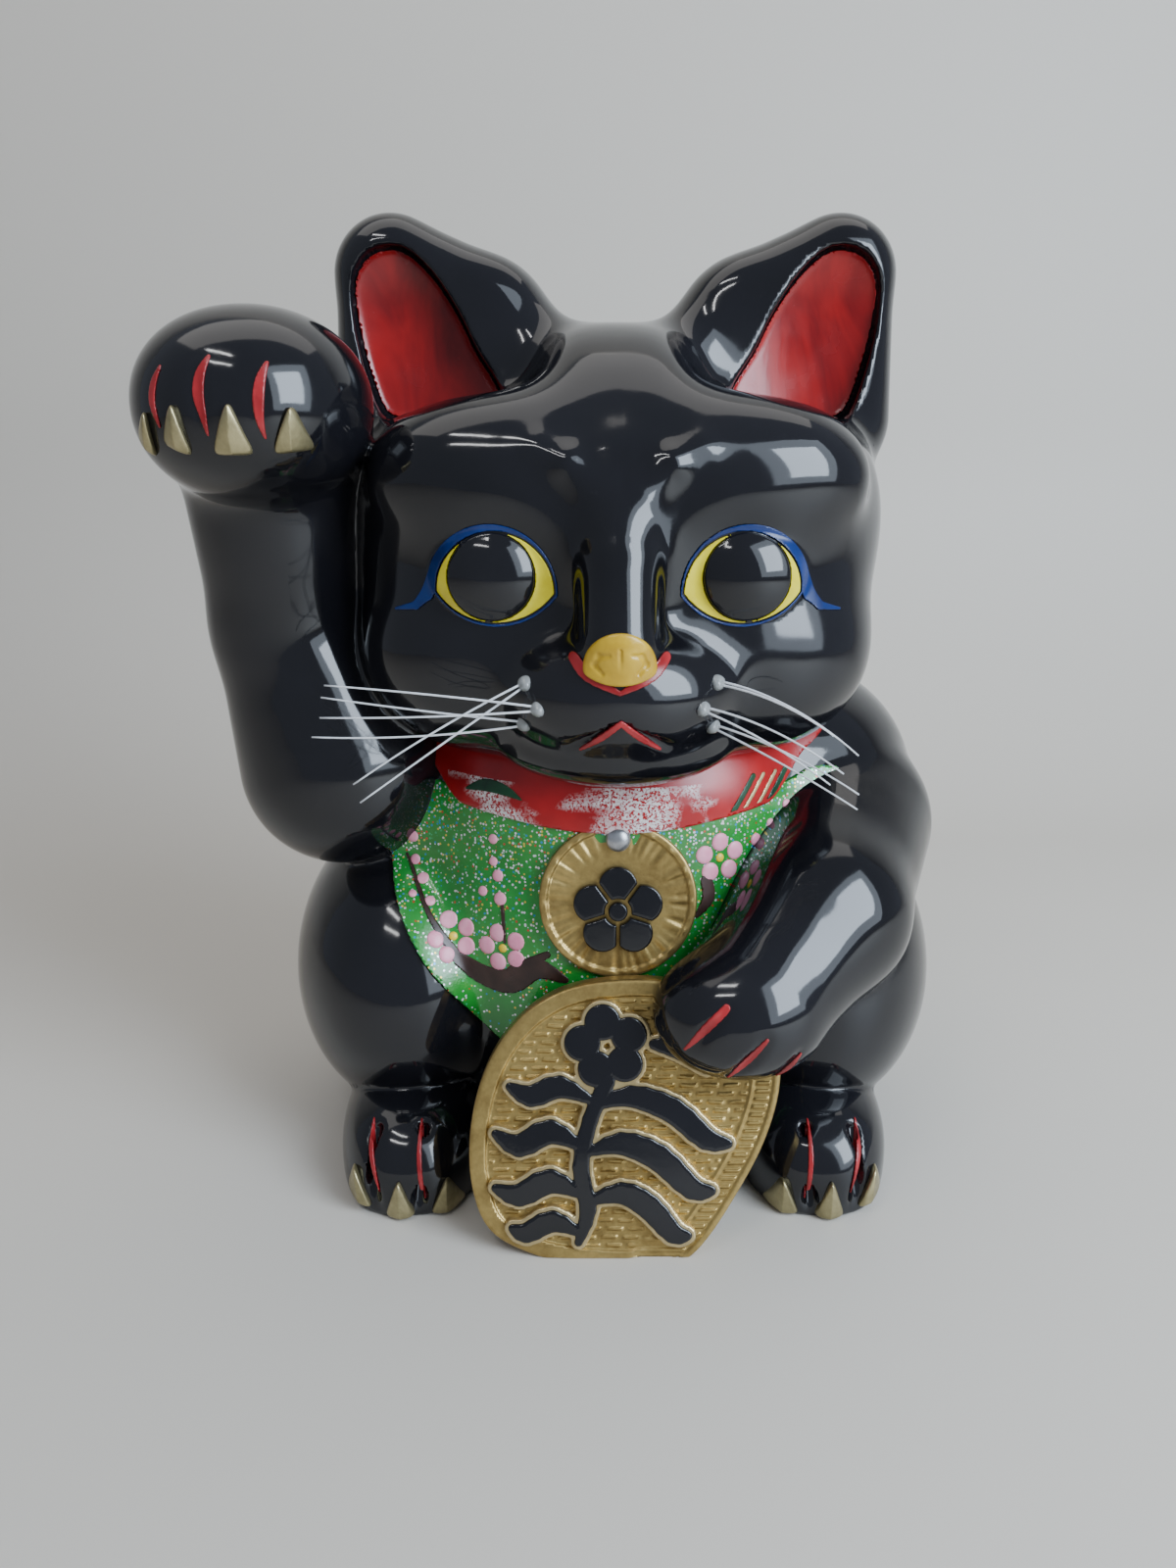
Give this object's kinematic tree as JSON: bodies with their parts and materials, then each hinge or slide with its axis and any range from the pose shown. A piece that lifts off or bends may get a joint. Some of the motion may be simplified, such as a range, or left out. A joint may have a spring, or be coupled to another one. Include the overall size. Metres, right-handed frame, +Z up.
{
  "type": "beckoning cat figurine",
  "caption": "Seated beckoning cat coin bank in black glazed ceramic, one paw raised, the other holding a gold oval coin; bib, collar, medallion, whiskers and a rubber base stopper.",
  "frame": {"origin": "on the table plane under the body, in front of the stopper recess", "axes": "+Z up, -Y the way the cat looks, +X to the right of a person facing it"},
  "size_m": [0.35, 0.284, 0.4295],
  "materials": {
    "black_glaze": "gloss",
    "red_enamel": "gloss",
    "green_glitter": "glitter in clear glaze",
    "gold_lustre": "metallic lustre",
    "eye_enamel": "gloss",
    "silver_stud": "metallic lustre",
    "nylon": "satin",
    "glue": "clear",
    "stopper_rubber": "matte"
  },
  "bodies": {
    "figurine": {"torso_shell": "black_glaze", "head_shell": "black_glaze", "left_ear": "black_glaze", "right_ear": "black_glaze", "raised_arm": "black_glaze", "lowered_arm": "black_glaze", "left_foot": "black_glaze", "right_foot": "black_glaze", "tail": "black_glaze", "collar": "red_enamel", "bib": "green_glitter", "medallion": "gold_lustre", "medallion_emblem": "black_glaze", "medallion_stud": "silver_stud", "koban": "gold_lustre", "koban_emblem": "black_glaze", "nose": "gold_lustre", "left_eye": "eye_enamel", "right_eye": "eye_enamel", "raised_paw_claws": "gold_lustre", "left_foot_claws": "gold_lustre", "right_foot_claws": "gold_lustre", "left_whiskers": "nylon", "right_whiskers": "nylon", "whisker_glue": "glue"},
    "stopper": {"base_stopper": "stopper_rubber"}
  },
  "joints": [
    {"name": "stopper_pull", "type": "slide", "parent": "figurine", "child": "stopper", "axis": [0, 0, -1], "range_m": [0, 0.03]}
  ]
}
